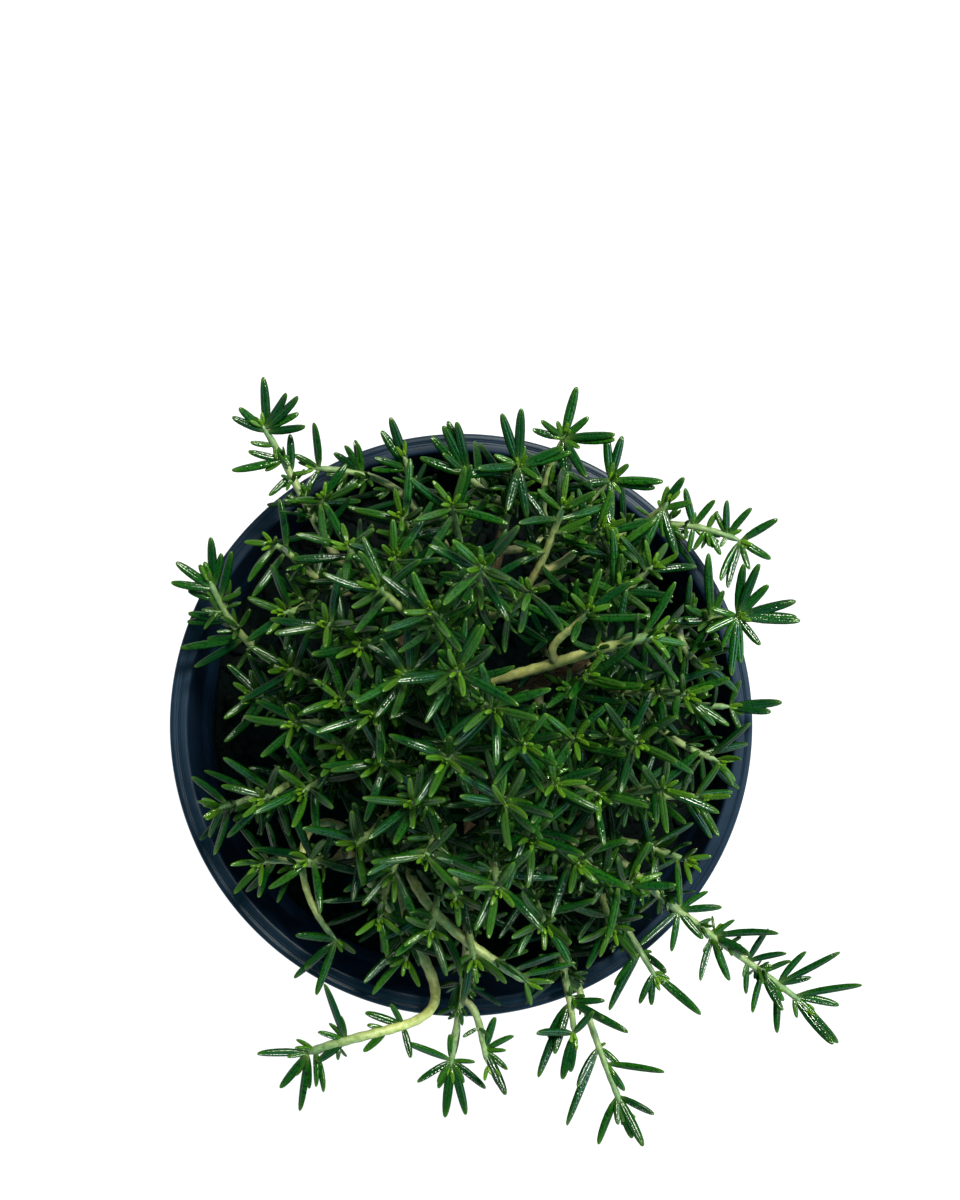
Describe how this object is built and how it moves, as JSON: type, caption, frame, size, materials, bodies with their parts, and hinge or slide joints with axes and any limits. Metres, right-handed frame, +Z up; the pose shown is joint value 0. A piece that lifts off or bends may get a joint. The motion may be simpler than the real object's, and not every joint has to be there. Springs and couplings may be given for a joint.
{
  "type": "potted rosemary plant",
  "caption": "Bushy young rosemary with arching leafy shoots, growing from woody stems in a round, tapered plastic nursery pot filled with soil.",
  "frame": {"origin": "middle of the pot's flat foot, on the surface it stands on", "axes": "+Z up along the pot's axis; +Y towards the top of the picture and +X towards its right, seen from above"},
  "size_m": [0.1943, 0.2172, 0.232],
  "materials": {
    "pot": "satin",
    "soil": "matte",
    "bark": "matte",
    "foliage": "satin"
  },
  "bodies": {
    "root": {"pot": "pot", "shoot_centre_1": "foliage", "shoot_centre_2": "foliage", "shoot_centre_3": "foliage", "shoot_centre_4": "foliage", "shoot_centre_5": "foliage", "shoot_centre_6": "foliage", "shoot_centre_7": "foliage", "shoot_east_1": "foliage", "shoot_east_2": "foliage", "shoot_east_3": "foliage", "shoot_east_4": "foliage", "shoot_east_5": "foliage", "shoot_east_6": "foliage", "shoot_middle_1": "foliage", "shoot_middle_2": "foliage", "shoot_middle_3": "foliage", "shoot_middle_4": "foliage", "shoot_middle_5": "foliage", "shoot_middle_6": "foliage", "shoot_north_1": "foliage", "shoot_north_2": "foliage", "shoot_north_3": "foliage", "shoot_north_4": "foliage", "shoot_north_5": "foliage", "shoot_north_6": "foliage", "shoot_north_west_1": "foliage", "shoot_north_west_2": "foliage", "shoot_north_west_3": "foliage", "shoot_north_west_4": "foliage", "shoot_south_1": "foliage", "shoot_south_2": "foliage", "shoot_south_east_1": "foliage", "shoot_south_east_2": "foliage", "shoot_south_east_3": "foliage", "shoot_south_east_4": "foliage", "shoot_south_east_5": "foliage", "shoot_south_east_6": "foliage", "shoot_south_west_1": "foliage", "shoot_south_west_2": "foliage", "shoot_south_west_3": "foliage", "shoot_south_west_4": "foliage", "shoot_south_west_5": "foliage", "shoot_south_west_6": "foliage", "shoot_west_1": "foliage", "shoot_west_2": "foliage", "shoot_west_3": "foliage", "shoot_west_4": "foliage", "shoot_west_5": "foliage", "shoot_west_6": "foliage", "soil": "soil", "woody_stem_centre": "bark", "woody_stem_east": "bark", "woody_stem_middle": "bark", "woody_stem_north": "bark", "woody_stem_north_west": "bark", "woody_stem_south": "bark", "woody_stem_south_east": "bark", "woody_stem_south_west": "bark", "woody_stem_west": "bark"}
  },
  "joints": []
}
